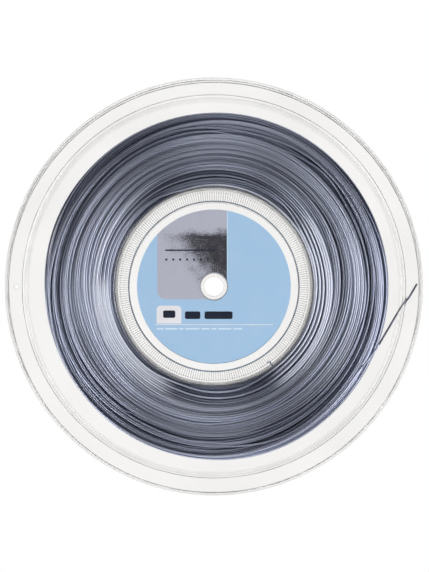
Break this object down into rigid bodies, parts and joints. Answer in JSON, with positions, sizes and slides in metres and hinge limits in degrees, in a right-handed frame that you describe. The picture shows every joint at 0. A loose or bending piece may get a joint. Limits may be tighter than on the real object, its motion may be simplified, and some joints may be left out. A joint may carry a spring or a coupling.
{
  "type": "string reel",
  "caption": "Clear plastic reel with stepped flanges, a drum, a central bore and round labels, wound full of metallic grey racket string whose free end is parked in a rim hole.",
  "frame": {"origin": "on the bore axis, in the plane of the rear flange's rim face that the reel lies on", "axes": "+Z along the bore axis from the rear flange to the front flange, +Y towards the top of the front label, +X towards the side where the free end of the string is parked"},
  "size_m": [0.26, 0.26, 0.0294],
  "materials": {
    "clear_plastic": "clear injection moulded polystyrene, gloss",
    "printed_paper": "light blue printed label, satin",
    "string": "metallic blue-grey monofilament, gloss"
  },
  "bodies": {
    "root": {"front_flange": "clear_plastic", "rear_flange": "clear_plastic", "drum": "clear_plastic", "hub_tube": "clear_plastic", "front_label": "printed_paper", "rear_label": "printed_paper", "string_winding": "string", "string_start": "string", "string_tail": "string"}
  },
  "joints": []
}
